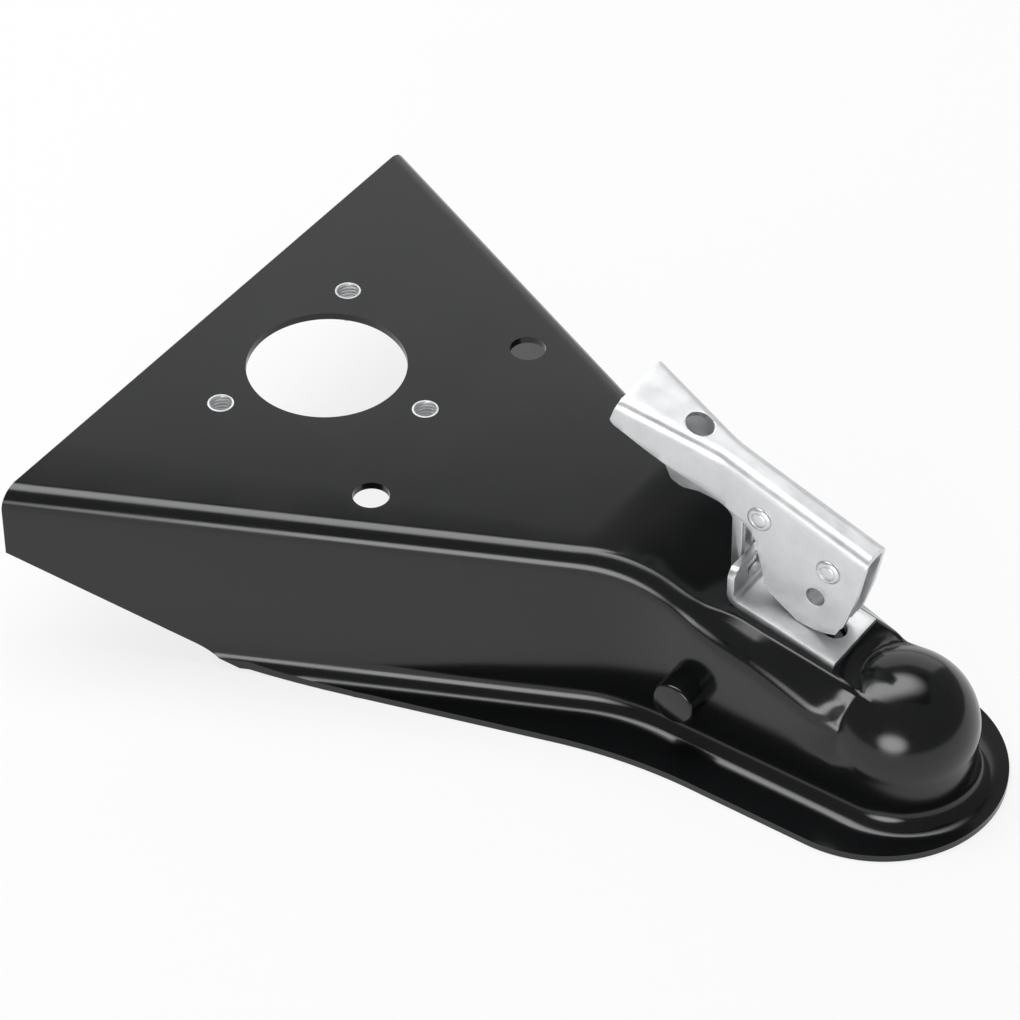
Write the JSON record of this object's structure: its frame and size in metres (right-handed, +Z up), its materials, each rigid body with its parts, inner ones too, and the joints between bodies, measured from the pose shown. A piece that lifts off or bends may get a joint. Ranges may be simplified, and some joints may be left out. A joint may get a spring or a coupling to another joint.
{
  "type": "trailer coupling head",
  "caption": "Pressed steel A-frame coupling head with a ball socket, a jack hole, an under-jaw ball clamp and an over-centre release lever with a trigger.",
  "frame": {"origin": "centre of the tow ball when the coupling head sits on it", "axes": "+X forward to the round nose, +Y to the left, +Z up; the underside of the skirt is 27.5 mm below the origin"},
  "size_m": [0.3628, 0.264, 0.1389],
  "materials": {
    "black_coat": "gloss black coat on pressed steel",
    "zinc_plate": "bright zinc plate",
    "plain_steel": "plain steel"
  },
  "bodies": {
    "base": {"coupler_body": "black_coat", "jack_nut_front": "plain_steel", "jack_nut_left": "plain_steel", "jack_nut_right": "plain_steel", "latch_plate": "zinc_plate", "cross_pin": "black_coat", "clamp_spacer_left": "plain_steel", "clamp_spacer_right": "plain_steel", "bolt_spring": "plain_steel"},
    "bolt": {"draw_bolt": "zinc_plate", "rocker_washer": "zinc_plate", "thrust_washer": "zinc_plate", "lock_nut": "zinc_plate"},
    "clamp": {"ball_clamp": "black_coat"},
    "lever": {"release_lever": "zinc_plate", "lever_rivet": "zinc_plate", "trigger_rivet": "zinc_plate", "trigger_spring": "plain_steel"},
    "trigger": {"trigger": "zinc_plate"}
  },
  "joints": [
    {"name": "lever_hinge", "type": "hinge", "parent": "bolt", "child": "lever", "pos_m": [-0.03163, 0, 0.06589], "axis": [0, 1, 0], "range_deg": [0, 85]},
    {"name": "bolt_slide", "type": "slide", "parent": "base", "child": "bolt", "axis": [-0.1977, 0, -0.9803], "range_m": [0, 0.0085], "deforming": ["bolt_spring"]},
    {"name": "clamp_hinge", "type": "hinge", "parent": "base", "child": "clamp", "pos_m": [-0.0774, 0, -0.0016], "axis": [0, 1, 0], "range_deg": [0, 15.5]},
    {"name": "trigger_hinge", "type": "hinge", "parent": "lever", "child": "trigger", "pos_m": [-0.06173, 0, 0.07681], "axis": [0, 1, 0], "range_deg": [0, 11], "stiffness_Nm_per_rad": 0.15, "springref_deg": -51.57}
  ],
  "couplings": [
    {"joint": "bolt_slide", "follows": "lever_hinge", "m_per_rad": 0.0057295},
    {"joint": "clamp_hinge", "follows": "lever_hinge", "ratio": 0.18235}
  ]
}
